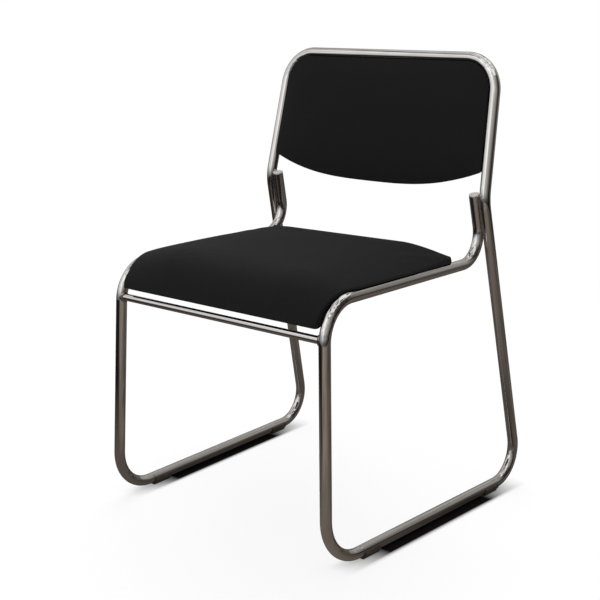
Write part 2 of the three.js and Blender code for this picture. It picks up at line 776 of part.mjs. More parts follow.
// Seat straps: flat bars from rail to rail under the board
for (const place of ['front', 'rear']) {
  const { at } = seatScrews.find(({ name }) => name === `right_${place}`);
  const strap = new THREE.BoxGeometry(2 * (at.x + seatScrewInset), strapWidth, strapThickness);
  strap.translate(0, at.y, at.z - carrierGap - strapThickness / 2);
  const holes = seatScrews.filter(({ name }) => name.endsWith(place)).map((hole) =>
    laid(holeCutter(carrierHole, -carrierGap - strapThickness - overrun, overrun), hole.at, seatHeading));
  addPiece(`seat_strap_${place}`, cutAway(strap, [...legCutters, ...holes]), finishes.chrome);
}

// Back tabs: plates on the rear of the uprights
for (const { name, at } of backScrews) {
  const sign = Math.sign(at.x);
  const inner = Math.abs(at.x) + backScrewInset - tabReach;
  const outer = Math.abs(at.x) + backScrewInset + tabLap;
  const tab = new THREE.BoxGeometry(outer - inner, tabThickness, tabWidth);
  tab.rotateX(-Math.atan2(backUp.y, backUp.z));
  const middle = at.clone().addScaledVector(backward, carrierGap + tabThickness / 2);
  tab.translate((sign * (inner + outer)) / 2, middle.y, middle.z);
  const hole = laid(holeCutter(carrierHole, -carrierGap - tabThickness - overrun, overrun), at, backHeading);
  addPiece(`back_tab_${name}`, cutAway(tab, [hole]), finishes.chrome);
}

// The origin lies on the floor, under the middle of the chair
const bounds = new THREE.Box3().setFromObject(chair);
chair.position.set(0, -(bounds.min.y + bounds.max.y) / 2, -bounds.min.z);

export default chair;
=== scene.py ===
import math

import bmesh
import bpy
import numpy as np
from mathutils import Matrix, Vector


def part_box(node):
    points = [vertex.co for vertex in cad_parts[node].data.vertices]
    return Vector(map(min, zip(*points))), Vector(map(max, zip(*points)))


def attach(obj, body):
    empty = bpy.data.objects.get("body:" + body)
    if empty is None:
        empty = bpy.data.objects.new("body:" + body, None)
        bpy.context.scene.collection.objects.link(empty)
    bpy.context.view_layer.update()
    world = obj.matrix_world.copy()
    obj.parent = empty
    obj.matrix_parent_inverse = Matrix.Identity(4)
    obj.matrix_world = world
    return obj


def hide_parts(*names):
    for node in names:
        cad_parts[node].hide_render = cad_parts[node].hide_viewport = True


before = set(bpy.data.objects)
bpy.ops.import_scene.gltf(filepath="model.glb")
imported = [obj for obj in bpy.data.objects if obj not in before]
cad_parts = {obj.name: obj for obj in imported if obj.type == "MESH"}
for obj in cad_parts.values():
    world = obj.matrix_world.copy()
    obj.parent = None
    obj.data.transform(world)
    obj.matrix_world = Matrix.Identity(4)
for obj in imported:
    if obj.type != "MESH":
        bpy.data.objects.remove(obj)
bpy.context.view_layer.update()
print("frame loaded:", len(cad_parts), "nodes")

scene = bpy.context.scene
scene.view_settings.view_transform = "Standard"
fullTurn = 2 * math.pi
sideSigns = {"left": -1, "right": 1}


def colourOf(value):
    return (*value, 1) if isinstance(value, tuple) and len(value) == 3 else value


# A socket of a material's nodes; sums on it add Math nodes
class Signal:
    def __init__(self, finish, socket):
        self.finish = finish
        self.socket = socket

    # Another output of the same node
    def output(self, key):
        return Signal(self.finish, self.socket.node.outputs[key])

    def sum(self, operation, *others):
        sockets = dict(enumerate((self, *others)))
        return self.finish.node("Math", {"operation": operation}, sockets)

    def __add__(self, other):
        return self.sum("ADD", other)

    def __sub__(self, other):
        return self.sum("SUBTRACT", other)

    def __rsub__(self, other):
        return self.finish.node("Math", {"operation": "SUBTRACT"}, {0: other, 1: self})

    def __mul__(self, other):
        return self.sum("MULTIPLY", other)

    __radd__ = __add__
    __rmul__ = __mul__


# The nodes of one material, or of the world
class Finish:
    def __init__(self, name, tree=None):
        if tree is None:
            self.material = bpy.data.materials.new(name)
            self.material.use_nodes = True
            tree = self.material.node_tree
        self.tree = tree
        self.tree.nodes.clear()

    def node(self, kind, settings=None, sockets=None, output=0):
        made = self.tree.nodes.new("ShaderNode" + kind)
        for key, value in (settings or {}).items():
            if key == "stops":
                for index, (position, colour) in enumerate(value):
                    stops = made.color_ramp.elements
                    stop = stops[index] if index < len(stops) else stops.new(position)
                    stop.position = position
                    stop.color = colourOf(colour)
            else:
                setattr(made, key, value)
        for key, value in (sockets or {}).items():
            if isinstance(value, Signal):
                self.tree.links.new(value.socket, made.inputs[key])
            else:
                made.inputs[key].default_value = value
        return Signal(self, made.outputs[output]) if made.outputs else None

    def spot(self):
        return self.node("TexCoord", output="Object")

    def place(self, scale=(1, 1, 1)):
        return self.node("Mapping", {}, {"Vector": self.spot(), "Scale": scale})

    def noise(self, where, scale, detail=2.0, roughness=0.5):
        return self.node("TexNoise", {}, {
            "Vector": where, "Scale": scale, "Detail": detail, "Roughness": roughness})

    def ranged(self, signal, low, high, fromLow=0.0, fromHigh=1.0):
        return self.node("MapRange", {}, {
            "Value": signal, "From Min": fromLow, "From Max": fromHigh, "To Min": low, "To Max": high})

    def blend(self, share, first, second):
        return self.node("Mix", {"data_type": "RGBA"}, {
            0: share, 6: colourOf(first), 7: colourOf(second)}, output=2)

    # A look's colour, turning into its second colour where a noise is high
    def toned(self, noise, look):
        share = self.ranged(noise, 0.0, 1.0, *look["toneRange"])
        return self.blend(share, look["colour"], look["secondColour"])

    def bump(self, height, distance, strength=1.0, normal=None):
        sockets = {"Height": height, "Distance": distance, "Strength": strength}
        if normal is not None:
            sockets["Normal"] = normal
        return self.node("Bump", {}, sockets)

    def end(self, surface):
        self.node("OutputMaterial", {}, {"Surface": surface})
        return self.material

    def show(self, sockets):
        named = {key: colourOf(value) for key, value in sockets.items()}
        return self.end(self.node("BsdfPrincipled", {}, named))


chromeLook = {
    "colour": (0.80, 0.785, 0.765),
    "secondColour": (0.74, 0.715, 0.69),
    "toneRange": (0.45, 0.75),      # of the smudges' noise
    "roughness": (0.05, 0.11),
    "roughRange": (0.35, 0.8),
    "smudges": (26.0, 3.0),         # scale and detail of a noise, as in the looks below
    "ripples": (88.0, 1.0),
    "rippleDepth": 0.0011,          # where a tube is bent
    "drawn": (30.0, 1.0),
    "drawnDepth": 0.00005,          # everywhere
    "scratches": (1.0, 1.0),
    "scratchStretch": (900, 900, 60),
    "scratchRelief": (0.000008, 0.5),   # depth and strength
}


def chromeFinish(name, look):
    finish = Finish(name)
    where = finish.place()
    smudge = finish.noise(where, *look["smudges"])
    bent = finish.node("Attribute", {"attribute_name": "bent"}, output=2)
    ripple = finish.noise(where, *look["ripples"])
    drawn = finish.noise(where, *look["drawn"])
    scratch = finish.noise(finish.place(look["scratchStretch"]), *look["scratches"])
    normal = finish.bump((ripple - 0.5) * bent, look["rippleDepth"])
    normal = finish.bump(drawn, look["drawnDepth"], 1.0, normal)
    normal = finish.bump(scratch, *look["scratchRelief"], normal)
    return finish.show({
        "Base Color": finish.toned(smudge, look),
        "Metallic": 1.0,
        "Roughness": finish.ranged(smudge, *look["roughness"], *look["roughRange"]),
        "Normal": normal,
    })


metalLook = {
    "metallic": 1.0,
    "specular": 0.5,
    "toneRange": (0.4, 0.7),
    "roughRange": (0.3, 0.7),
    "clouds": (160.0, 4.0),
    "grainToned": False,            # whether the colour follows the grain, and not the clouds
    "grainStretch": (1, 1, 1),
    "grainRelief": (0.00008, 0.6),
}
weldLook = {
    **metalLook,
    "colour": (0.42, 0.37, 0.33),
    "secondColour": (0.26, 0.21, 0.18),
    "roughness": (0.26, 0.44),
    "grain": (900.0, 2.0),
}
zincLook = {
    **metalLook,
    "colour": (0.62, 0.63, 0.65),
    "secondColour": (0.50, 0.50, 0.50),
    "roughness": (0.28, 0.46),
    "grain": (700.0, 2.0),
}
glideLook = {
    **metalLook,
    "metallic": 0.0,
    "specular": 0.4,
    "colour": (0.050, 0.041, 0.034),
    "secondColour": (0.034, 0.028, 0.023),
    "toneRange": (0.35, 0.7),
    "roughness": (0.29, 0.42),
    "clouds": (90.0, 3.0),
    "grain": (2600.0, 1.0),
    "grainRelief": (0.00004, 0.5),
}
plugLook = {
    **glideLook,
    "colour": (0.62, 0.61, 0.59),
    "secondColour": (0.56, 0.55, 0.53),
    "roughness": (0.45, 0.58),
}
liningLook = {
    **metalLook,
    "metallic": 0.0,
    "specular": 0.2,
    "colour": (0.012, 0.012, 0.012),
    "secondColour": (0.03, 0.03, 0.031),
    "roughness": (0.82, 0.95),
    "clouds": (60.0, 3.0),
    "grainToned": True,
    "grainStretch": (1, 0.25, 1),
    "grain": (1500.0, 3.0),
    "grainRelief": (0.00012, 0.7),
}


# Metal, plastic or lining: its roughness varies in clouds, over a fine grain
def plainFinish(name, look):
    finish = Finish(name)
    cloud = finish.noise(finish.place(), *look["clouds"])
    grain = finish.noise(finish.place(look["grainStretch"]), *look["grain"])
    return finish.show({
        "Base Color": finish.toned(grain if look["grainToned"] else cloud, look),
        "Metallic": look["metallic"],
        "Roughness": finish.ranged(cloud, *look["roughness"], *look["roughRange"]),
        "Specular IOR Level": look["specular"],
        "Normal": finish.bump(grain, *look["grainRelief"]),
    })


fabricLook = {
    "colour": (0.0059, 0.0059, 0.0063),
    "secondColour": (0.0108, 0.0108, 0.0114),
    "toneRange": (0.25, 0.95),
    "pitch": 0.00062,               # from thread to thread
    "wobbleScale": 420.0,
    "wobble": 0.6,
    "slubScale": 1100.0,
    "clouds": (9.0, 3.0),
    "weaveTone": 0.55,
    "slubTone": 0.3,
    "cloudTone": 0.35,
    "slubHeight": 0.5,
    "threadRelief": (0.00009, 0.7),
    "roughness": (0.81, 0.92),
    "roughRange": (0.3, 0.7),
    "specular": 0.12,
    "sheen": 0.05,
    "sheenRoughness": 0.45,
    "sheenTint": (0.5, 0.5, 0.52),
}


def fabricFinish(name, look):
    finish = Finish(name)
    where = finish.place()
    threads = finish.node("UVMap", {"uv_map": "weave"})
    across = finish.node("SeparateXYZ", {}, {0: threads})
    along = across.output(1)
    wobble = finish.noise(where, look["wobbleScale"]) * look["wobble"]
    turns = fullTurn / (2 * look["pitch"])
    warp = (across * turns + wobble).sum("SINE")
    weft = (along * turns + wobble).sum("SINE")
    weave = warp * weft * 0.5 + 0.5
    slub = finish.noise(where, look["slubScale"])
    cloud = finish.noise(where, *look["clouds"])
    tone = weave * look["weaveTone"] + slub * look["slubTone"] + cloud * look["cloudTone"]
    height = weave + slub * look["slubHeight"]
    return finish.show({
        "Base Color": finish.toned(tone, look),
        "Roughness": finish.ranged(cloud, *look["roughness"], *look["roughRange"]),
        "Specular IOR Level": look["specular"],
        "Sheen Weight": look["sheen"],
        "Sheen Roughness": look["sheenRoughness"],
        "Sheen Tint": look["sheenTint"],
        "Normal": finish.bump(height, *look["threadRelief"]),
    })


plywoodLook = {
    "colour": (0.62, 0.45, 0.27),
    "secondColour": (0.42, 0.27, 0.14),
    "toneRange": (0.35, 0.65),
    "grainStretch": (14, 1.2, 60),
    "grain": (9.0, 5.0, 0.6),       # scale, detail and roughness
    "poreStretch": (60, 5, 60),
    "poreScale": 30.0,
    "poreShare": 0.25,
    "poreRelief": (0.0001, 0.5),
    "roughness": (0.6, 0.8),
    "roughRange": (0.3, 0.7),
}


def plywoodFinish(name, look):
    finish = Finish(name)
    along = finish.place(look["grainStretch"])
    grain = finish.noise(along, *look["grain"])
    pores = finish.noise(finish.place(look["poreStretch"]), look["poreScale"])
    tone = grain * (1 - look["poreShare"]) + pores * look["poreShare"]
    return finish.show({
        "Base Color": finish.toned(tone, look),
        "Roughness": finish.ranged(pores, *look["roughness"], *look["roughRange"]),
        "Normal": finish.bump(pores, *look["poreRelief"]),
    })


chrome = chromeFinish("chromed_tube", chromeLook)
chromePlate = chromeFinish("chromed_plate", {**chromeLook, "roughness": (0.09, 0.11)})
weldMetal = plainFinish("weld_metal", weldLook)
zinc = plainFinish("zinc_plate", zincLook)
glidePlastic = plainFinish("glide_plastic", glideLook)
plugPlastic = plainFinish("plug_plastic", plugLook)
fabric = fabricFinish("black_weave", fabricLook)
lining = plainFinish("lining_cloth", liningLook)
plywood = plywoodFinish("plywood", plywoodLook)
print("finishes made")


# Turns a finished bmesh into an object at the origin
def newForm(name, build, material):
    mesh = bpy.data.meshes.new(name)
    build.to_mesh(mesh)
    build.free()
    mesh.materials.append(material)
    form = bpy.data.objects.new(name, mesh)
    scene.collection.objects.link(form)
    return form


# A form that belongs to the chair: it rides on the frame's only body
def addPiece(name, build, material, replaced=(), smoothAngle=35.0):
    bmesh.ops.recalc_face_normals(build, faces=build.faces)
    piece = newForm(name, build, material)
    piece.data.shade_smooth()
    piece.data.set_sharp_from_angle(angle=math.radians(smoothAngle))
    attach(piece, "root")
    if replaced:
        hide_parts(*replaced)
    return piece


def bevelEdges(build, edges, offset, segments=2):
    bmesh.ops.bevel(build, geom=edges, offset=offset, offset_type="OFFSET", segments=segments,
                    profile=0.5, affect="EDGES", clamp_overlap=True, material=-1)


def addCircle(build, sides, radius, matrix, filled=False):
    circle = bmesh.ops.create_circle(build, cap_ends=filled, segments=sides, radius=radius, matrix=matrix)
    return circle["verts"]


# Extrudes faces or open edges by a step; gives the far side's points, and the edges between them
def grow(build, geom, step=Vector()):
    if isinstance(geom[0], bmesh.types.BMFace):
        grown = bmesh.ops.extrude_face_region(build, geom=geom)["geom"]
    else:
        grown = bmesh.ops.extrude_edge_only(build, edges=geom)["geom"]
    verts = [item for item in grown if isinstance(item, bmesh.types.BMVert)]
    edges = [item for item in grown if isinstance(item, bmesh.types.BMEdge) and
             all(vert in verts for vert in item.verts)]
    bmesh.ops.translate(build, verts=verts, vec=step)
    return verts, edges


def unique(items):
    return list(dict.fromkeys(items))


def facing(direction, at=Vector()):
    return Matrix.Translation(at) @ direction.to_track_quat("Z", "Y").to_matrix().to_4x4()


def mirrored(point, sign):
    return Vector((point.x * sign, point.y, point.z))


# Axes of the tubes on the +X side, in the chair's frame
tubing = {
    "radius": 0.0095,
    "crossRadius": 0.00635,
    "crossInset": 0.0076,      # from the leg's axis to the cross tube's end
    "sides": 48,
    "bendStep": math.radians(4),
    "sharpestTurn": 1.1,       # a bend this sharp has the deepest ripples
    "fadeIn": 0.020,
    "endRound": 0.0007,
    "endRing": 0.0015,
    "jointSetback": 0.004,
    "jointGap": 0.0003,
}
corners = {
    "frontFoot": Vector((0.2390, -0.265615, 0.0125)),
    "rearFoot": Vector((0.2590, 0.278385, 0.0125)),
    "frontSeat": Vector((0.2230, -0.253615, 0.430)),
    "knee": Vector((0.2425, 0.156385, 0.539)),
    "topCorner": Vector((0.2295, 0.205385, 0.775)),
}
bends = {
    "frontFoot": 0.075,
    "rearFoot": 0.058,
    "frontSeat": 0.064,
    "rearSeat": 0.050,
    "knee": 0.080,
    "topCorner": 0.061,
}
heights = {"rearSeat": 0.430, "stubTop": 0.546, "crossTube": 0.374}
stubSpacing = 0.0193           # from the rear leg's axis to the stub's


def alongLeg(height):
    share = (height - corners["rearFoot"].z) / (corners["knee"].z - corners["rearFoot"].z)
    return corners["rearFoot"].lerp(corners["knee"], share) - Vector((stubSpacing, 0, 0))


corners["rearSeat"] = alongLeg(heights["rearSeat"])
corners["stubTop"] = alongLeg(heights["stubTop"])


def bendReach(before, at, after):
    arriving = corners[at] - corners[before]
    return bends[at] * math.tan(arriving.angle(corners[after] - corners[at]) / 2)


frontFootReach = bendReach("frontSeat", "frontFoot", "rearFoot")
rearFootReach = bendReach("frontFoot", "rearFoot", "knee")
runnerHeading = (corners["rearFoot"] - corners["frontFoot"]).normalized()
runnerJoint = corners["frontFoot"] + runnerHeading * (frontFootReach + tubing["jointSetback"])
loopEnd = runnerJoint + runnerHeading * tubing["jointGap"]


# A tube's bends: each one's radius, its headings before and after, its angle, its start and its end
def bendsOf(stops):
    places = [place for place, bend in stops]
    for before, (corner, bend), after in zip(places, stops[1:], places[2:]):
        arriving = (corner - before).normalized()
        leaving = (after - corner).normalized()
        turn = arriving.angle(leaving)
        start = corner - arriving * bend * math.tan(turn / 2)
        end = corner + leaving * bend * math.tan(turn / 2)
        yield bend, arriving, leaving, turn, start, end


# Extrudes a tube's open end to a point. A ring near each end keeps the shading of a straight straight.
def runTo(build, edges, start, target):
    near = (target - start).normalized() * tubing["endRing"]
    here = start
    for goal in (start + near, target - near, target):
        verts, edges = grow(build, edges, goal - here)
        here = goal
    return edges


# A round bar: a ring is extruded along each straight and spun round each bend
def bentTube(stops, radius):
    build = bmesh.new()
    here = stops[0][0]
    heading = (stops[1][0] - here).normalized()
    addCircle(build, tubing["sides"], radius, facing(heading, here))
    bent = build.verts.layers.float.new("bent")
    ring = list(build.edges)
    for bend, arriving, leaving, turn, start, end in bendsOf(stops):
        ring = runTo(build, ring, here, start)
        axis = arriving.cross(leaving).normalized()
        centre = start + axis.cross(arriving) * bend
        verts = unique(vert for edge in ring for vert in edge.verts)
        straight = set(build.verts)
        spun = bmesh.ops.spin(build, geom=verts + ring, cent=centre, axis=axis, angle=turn,
                              steps=math.ceil(turn / tubing["bendStep"]), use_merge=False,
                              use_duplicate=False)
        ring = [item for item in spun["geom_last"] if isinstance(item, bmesh.types.BMEdge)]
        for vert in set(build.verts) - straight:
            reach = min((vert.co - start).length, (vert.co - end).length) - radius
            faded = min(1, max(0, reach / tubing["fadeIn"]))
            vert[bent] = min(1, turn / tubing["sharpestTurn"]) * faded
        here = end
    runTo(build, ring, here, stops[-1][0])
    ends = [edge for edge in build.edges if edge.is_boundary]
    bmesh.ops.holes_fill(build, edges=ends, sides=0)
    bevelEdges(build, ends, tubing["endRound"])
    return build


# Points along a tube's axis, close together round its bends
def axisPoints(stops):
    points = [stops[0][0]]
    for bend, arriving, leaving, turn, start, end in bendsOf(stops):
        inward = arriving.cross(leaving).cross(arriving).normalized()
        steps = math.ceil(turn / tubing["bendStep"])
        for step in range(steps + 1):
            angle = turn * step / steps
            points.append(start + arriving * bend * math.sin(angle) + inward * bend * (1 - math.cos(angle)))
    return points + [stops[-1][0]]


loopStops = [
    (loopEnd, 0),
    (corners["rearFoot"], bends["rearFoot"]),
    (corners["knee"], bends["knee"]),
    (corners["topCorner"], bends["topCorner"]),
]
loopStops += [(mirrored(point, -1), bend) for point, bend in reversed(loopStops)]
addPiece("back_loop", bentTube(loopStops, tubing["radius"]), chrome, ["back_loop_tube"])
axes = [axisPoints(loopStops)]

for side, sign in sideSigns.items():
    stops = [
        (runnerJoint, 0),
        (corners["frontFoot"], bends["frontFoot"]),
        (corners["frontSeat"], bends["frontSeat"]),
        (corners["rearSeat"], bends["rearSeat"]),
        (corners["stubTop"], 0),
    ]
    stops = [(mirrored(point, sign), bend) for point, bend in stops]
    axes.append(axisPoints(stops))
    build = bentTube(stops, tubing["radius"])
    addPiece(f"{side}_seat_rail", build, chrome, [f"{side}_seat_tube"])

legHeight = corners["frontSeat"].z - corners["frontFoot"].z
crossShare = (corners["frontSeat"].z - heights["crossTube"]) / legHeight
crossEnd = corners["frontSeat"].lerp(corners["frontFoot"], crossShare)
crossStop = crossEnd - Vector((tubing["crossInset"], 0, 0))
crossBar = bentTube([(mirrored(crossStop, -1), 0), (crossStop, 0)], tubing["crossRadius"])
addPiece("cross_bar", crossBar, chrome, ["front_cross_tube"])
print("tubes made")

# Weld beads where tubes and plates meet
welds = {
    "crossBead": 0.0021,
    "crossBeadSides": 12,
    "collarSteps": 40,
    "collarInset": 0.00042,
    "collarRise": 0.000525,
    "mergeDistance": 0.00001,
    "stubBead": 0.0023,
    "stubWeldLength": 0.030,
    "stubWeldDrop": 0.026,
    "stubBeadDepth": 0.0056,
    "plateBead": 0.0017,
    "beadSubdivisions": 3,
    "strapShare": 0.92,        # of the plate's width that is welded
    "tabShare": 0.80,
}
beads = bmesh.new()


def addBead(build, at, heading, length, radius):
    grown = bmesh.ops.create_icosphere(build, subdivisions=welds["beadSubdivisions"], radius=1)["verts"]
    size = Matrix.Diagonal((radius, radius, length / 2, 1))
    bmesh.ops.transform(build, matrix=facing(heading, at) @ size, verts=grown)


for side, sign in sideSigns.items():
    # Collar round the cross bar, saddled to the leg
    outward = Vector((sign, 0, 0))
    centre = mirrored(crossEnd, sign) - outward * (tubing["radius"] + welds["collarInset"])
    rim = centre + Vector((0, 0, tubing["crossRadius"] + welds["collarRise"]))
    circle = addCircle(beads, welds["crossBeadSides"], welds["crossBead"], facing(Vector((0, 1, 0)), rim))
    before = set(beads.verts) - set(circle)
    spinGeom = circle + unique(edge for vert in circle for edge in vert.link_edges)
    bmesh.ops.spin(beads, geom=spinGeom, cent=centre, axis=outward, angle=fullTurn,
                   steps=welds["collarSteps"], use_merge=True, use_duplicate=False)
    for vert in set(beads.verts) - before:
        across = vert.co.y - centre.y
        vert.co.x += sign * (tubing["radius"] - math.sqrt(max(0, tubing["radius"] ** 2 - across ** 2)))
    # Bead in the groove between the stub and the rear leg, on its rear side
    legHeading = mirrored(corners["knee"] - corners["rearFoot"], sign).normalized()
    groove = mirrored(corners["stubTop"] + Vector((stubSpacing / 2, 0, 0)), sign)
    rearward = legHeading.cross(outward).normalized() * sign
    at = groove - legHeading * welds["stubWeldDrop"] + rearward * welds["stubBeadDepth"]
    addBead(beads, at, legHeading, welds["stubWeldLength"], welds["stubBead"])
bmesh.ops.remove_doubles(beads, verts=beads.verts, dist=welds["mergeDistance"])
addPiece("frame_welds", beads, weldMetal)

# Plugs in the open tops of the stubs
plug = {
    "sides": 40,
    "stem": 0.0079,
    "stemLength": 0.014,
    "cap": 0.0093,
    "capHeight": 0.0020,
    "capRound": 0.0008,
    "roundSteps": 3,
}


# A closed disc; gives the edges round its far side
def addDisc(build, at, heading, radius, height):
    rim = addCircle(build, plug["sides"], radius, facing(heading, at), filled=True)
    lid = [face for face in build.faces if all(vert in rim for vert in face.verts)]
    verts, edges = grow(build, lid, heading * height)
    return edges


for side, sign in sideSigns.items():
    build = bmesh.new()
    heading = mirrored(corners["stubTop"] - corners["rearSeat"], sign).normalized()
    at = mirrored(corners["stubTop"], sign)
    addDisc(build, at - heading * plug["stemLength"], heading, plug["stem"], plug["stemLength"])
    rim = addDisc(build, at + heading * tubing["jointGap"], heading, plug["cap"], plug["capHeight"])
    bevelEdges(build, rim, plug["capRound"], plug["roundSteps"])
    addPiece(f"{side}_plug", build, plugPlastic, [f"{side}_stub_plug"])

# Glides: clips round the underside of the runners, on a flat sole
glide = {
    "length": 0.042,
    "bore": 0.0098,
    "outer": 0.0118,
    "steps": 32,
    "lipAngle": math.radians(9),
    "soleWidth": 0.0134,
    "soleGap": 0.0003,
    "edgeRound": 0.0006,
    "roundedAngle": math.radians(50),
    "frontSetback": 0.006,
    "rearSetback": 0.003,
}
runnerLength = (corners["rearFoot"] - corners["frontFoot"]).length
glideStarts = {
    "front": frontFootReach + glide["frontSetback"],
    "rear": runnerLength - rearFootReach - glide["rearSetback"] - glide["length"],
}
lip = Vector((math.cos(glide["lipAngle"]), 0, math.sin(glide["lipAngle"])))
soleHeight = corners["frontFoot"].z - glide["bore"] - glide["soleGap"]
soleMiddle = Vector((0, glide["length"] / 2, soleHeight / 2 - corners["frontFoot"].z))
for side, sign in sideSigns.items():
    for place, start in glideStarts.items():
        build = bmesh.new()
        inner = build.verts.new(lip * glide["bore"])
        outer = build.verts.new(lip * glide["outer"])
        wall = build.edges.new((inner, outer))
        bmesh.ops.spin(build, geom=[inner, outer, wall], cent=(0, 0, 0), axis=(0, 1, 0),
                       angle=math.pi + 2 * glide["lipAngle"], steps=glide["steps"],
                       use_merge=False, use_duplicate=False)
        grow(build, list(build.faces), (0, glide["length"], 0))
        sole = bmesh.ops.create_cube(build, size=1)["verts"]
        bmesh.ops.scale(build, vec=(glide["soleWidth"], glide["length"], soleHeight), verts=sole)
        bmesh.ops.translate(build, verts=sole, vec=soleMiddle)
        bmesh.ops.recalc_face_normals(build, faces=build.faces)
        sharp = [edge for edge in build.edges
                 if edge.is_manifold and edge.calc_face_angle(0) > glide["roundedAngle"]]
        bevelEdges(build, sharp, glide["edgeRound"])
        heading = mirrored(runnerHeading, sign)
        at = mirrored(corners["frontFoot"], sign) + heading * start
        turn = Matrix.Rotation(math.atan2(-heading.x, heading.y), 4, "Z")
        bmesh.ops.transform(build, matrix=Matrix.Translation(at) @ turn, verts=build.verts)
        addPiece(f"{side}_{place}_clip", build, glidePlastic, [f"{side}_{place}_glide"])
print("welds, plugs and glides made")


# Rise of a pad with the distance from its edge, and how its corners and sides draw in
def rimRise(distance, span, power=2.0):
    return 1 - (1 - min(1, max(0, distance / span))) ** power


def roundedBy(distance, radius):
    return radius - math.sqrt(max(0, radius ** 2 - max(0, radius - distance) ** 2))


def drawnBy(row, draw):
    return draw * (1 - (2 * row - 1) ** 2)


# Lines of a pad lie closer together towards its ends
crowding = {"columns": 0.6, "rows": 0.7}


def spaced(share, crowded):
    return share * (1 - crowded) + (1 - math.cos(math.pi * share)) / 2 * crowded


ringCloth = 0.006              # of the weave, from one ring of a pad to the next
edgeShare = 0.001


# How far the weave has run past the edge of a pad's top, across and along
def pastEdge(column, row, skirt):
    overside = math.copysign(skirt, column) if abs(column) > 1 - edgeShare else 0
    overend = skirt if row > 1 - edgeShare else -skirt if row < edgeShare else 0
    return overside, overend


# A pad's closed form: a grid for its underside, raised ring by ring to its crown.
# A layer gives the place of a column and row, and its distances over the cloth.
def paddedForm(pad, layerOf):
    rings = pad["rings"]
    layers = [layerOf(lap, height, ringCloth * (len(rings) - index))
              for index, (lap, height) in enumerate(rings)]
    layers.append(layerOf(pad["edgeLap"], pad["edgeHeight"], 0, True))
    build = bmesh.new()
    bmesh.ops.create_grid(build, x_segments=pad["columns"], y_segments=pad["rows"], size=1)
    column = build.verts.layers.float.new("column")
    row = build.verts.layers.float.new("row")
    clothX = build.verts.layers.float.new("cloth_x")
    clothY = build.verts.layers.float.new("cloth_y")
    for vert in build.verts:
        vert[column] = 2 * spaced((vert.co.x + 1) / 2, crowding["columns"]) - 1
        vert[row] = spaced((vert.co.y + 1) / 2, crowding["rows"])
    region = list(build.faces)
    verts = list(build.verts)
    for index, layer in enumerate(layers):
        if index:
            # With its edges in the call, a raised region isn't left behind as a layer inside
            region += unique(edge for face in region for edge in face.edges)
            raised = bmesh.ops.extrude_face_region(build, geom=region)["geom"]
            region = [item for item in raised if isinstance(item, bmesh.types.BMFace)]
            verts = [item for item in raised if isinstance(item, bmesh.types.BMVert)]
        for vert in verts:
            vert.co, vert[clothX], vert[clothY] = layer(vert[column], vert[row])
    weave = build.loops.layers.uv.new("weave")
    for face in build.faces:
        for loop in face.loops:
            loop[weave].uv = (loop.vert[clothX], loop.vert[clothY])
    return build


seatPad = {
    "boardHeight": 0.428,
    "lineRadius": 0.062,
    "bendHeight": 0.366,
    "bendY": -0.1914,
    "rearY": 0.0857,
    "length": 0.3527,
    "sideGap": 0.0011,
    "lapGap": 0.0009,
    "boardDrop": 0.002,
    "edgeHeight": 0.016,
    "crown": 0.0178,
    "dome": 0.0015,
    "sideSpan": 0.100,
    "sidePower": 1.6,
    "rearLift": 0.002,         # the rear edge is fuller than the sides
    "rearReach": 0.060,
    "unevenFill": 0.0034,      # the foam sits fuller at the right rear corner than at the left
    "unevenReach": 0.120,
    "lapLead": 0.023,          # the lap narrows from here, ahead of the front bend
    "frontSpan": 0.060,
    "rearSpan": 0.009,
    "cornerRadius": 0.012,
    "draw": 0.001,
    "frontLapShare": 0.06,
    "rings": [(0, -0.0014), (0, 0.003), (0.002, 0.0092),
              (0.0104, 0.0098), (0.0158, 0.0112), (0.0166, 0.0130)],
    "edgeLap": 0.0148,
    "lip": 0.0142,
    "liningLevel": -0.0002,
    "columns": 92,
    "rows": 76,
}
seatStraight = seatPad["rearY"] - seatPad["bendY"]


def railAxisX(distance):
    front = corners["frontSeat"]
    rear = corners["rearSeat"]
    share = max(0, (seatPad["rearY"] - distance - front.y) / (rear.y - front.y))
    return front.x + (rear.x - front.x) * share


def seatHalf(distance):
    drawn = drawnBy(distance / seatPad["length"], seatPad["draw"])
    return railAxisX(distance) - tubing["radius"] - seatPad["sideGap"] - drawn


def lapLeft(distance):
    along = (distance - seatStraight + seatPad["lapLead"]) / (seatPad["length"] - seatStraight)
    along = min(1, max(0, along))
    return 1 + (seatPad["frontLapShare"] - 1) * along


def onSeat(x, distance, height):
    angle = max(0, distance - seatStraight) / seatPad["lineRadius"]
    radius = seatPad["lineRadius"] + height
    return Vector((
        x,
        seatPad["rearY"] - min(distance, seatStraight) - radius * math.sin(angle),
        seatPad["bendHeight"] + radius * math.cos(angle),
    ))


def seatPlace(column, row, lap):
    distance = row * seatPad["length"]
    nearEnd = min(row, 1 - row) * seatPad["length"]
    half = seatHalf(distance) + lap * lapLeft(distance) - roundedBy(nearEnd, seatPad["cornerRadius"])
    return column * half, distance


def seatRise(x, distance):
    edge = seatHalf(distance) + seatPad["edgeLap"] * lapLeft(distance)
    ends = rimRise(distance, seatPad["rearSpan"])
    ends *= rimRise(seatPad["length"] - distance, seatPad["frontSpan"])
    flanks = rimRise(edge - abs(x), seatPad["sideSpan"], seatPad["sidePower"])
    lift = seatPad["rearLift"] * max(0, 1 - distance / seatPad["rearReach"])
    lift -= seatPad["unevenFill"] * x / edge * max(0, 1 - distance / seatPad["unevenReach"])
    dome = seatPad["dome"] * (1 - (x / edge) ** 2) * drawnBy(distance / seatPad["length"], 1)
    return seatPad["crown"] * ends * flanks + dome + lift


def overRail(offset, gap):
    reach = tubing["radius"] + gap
    return seatPad["boardDrop"] + math.sqrt(max(0, reach ** 2 - offset ** 2))


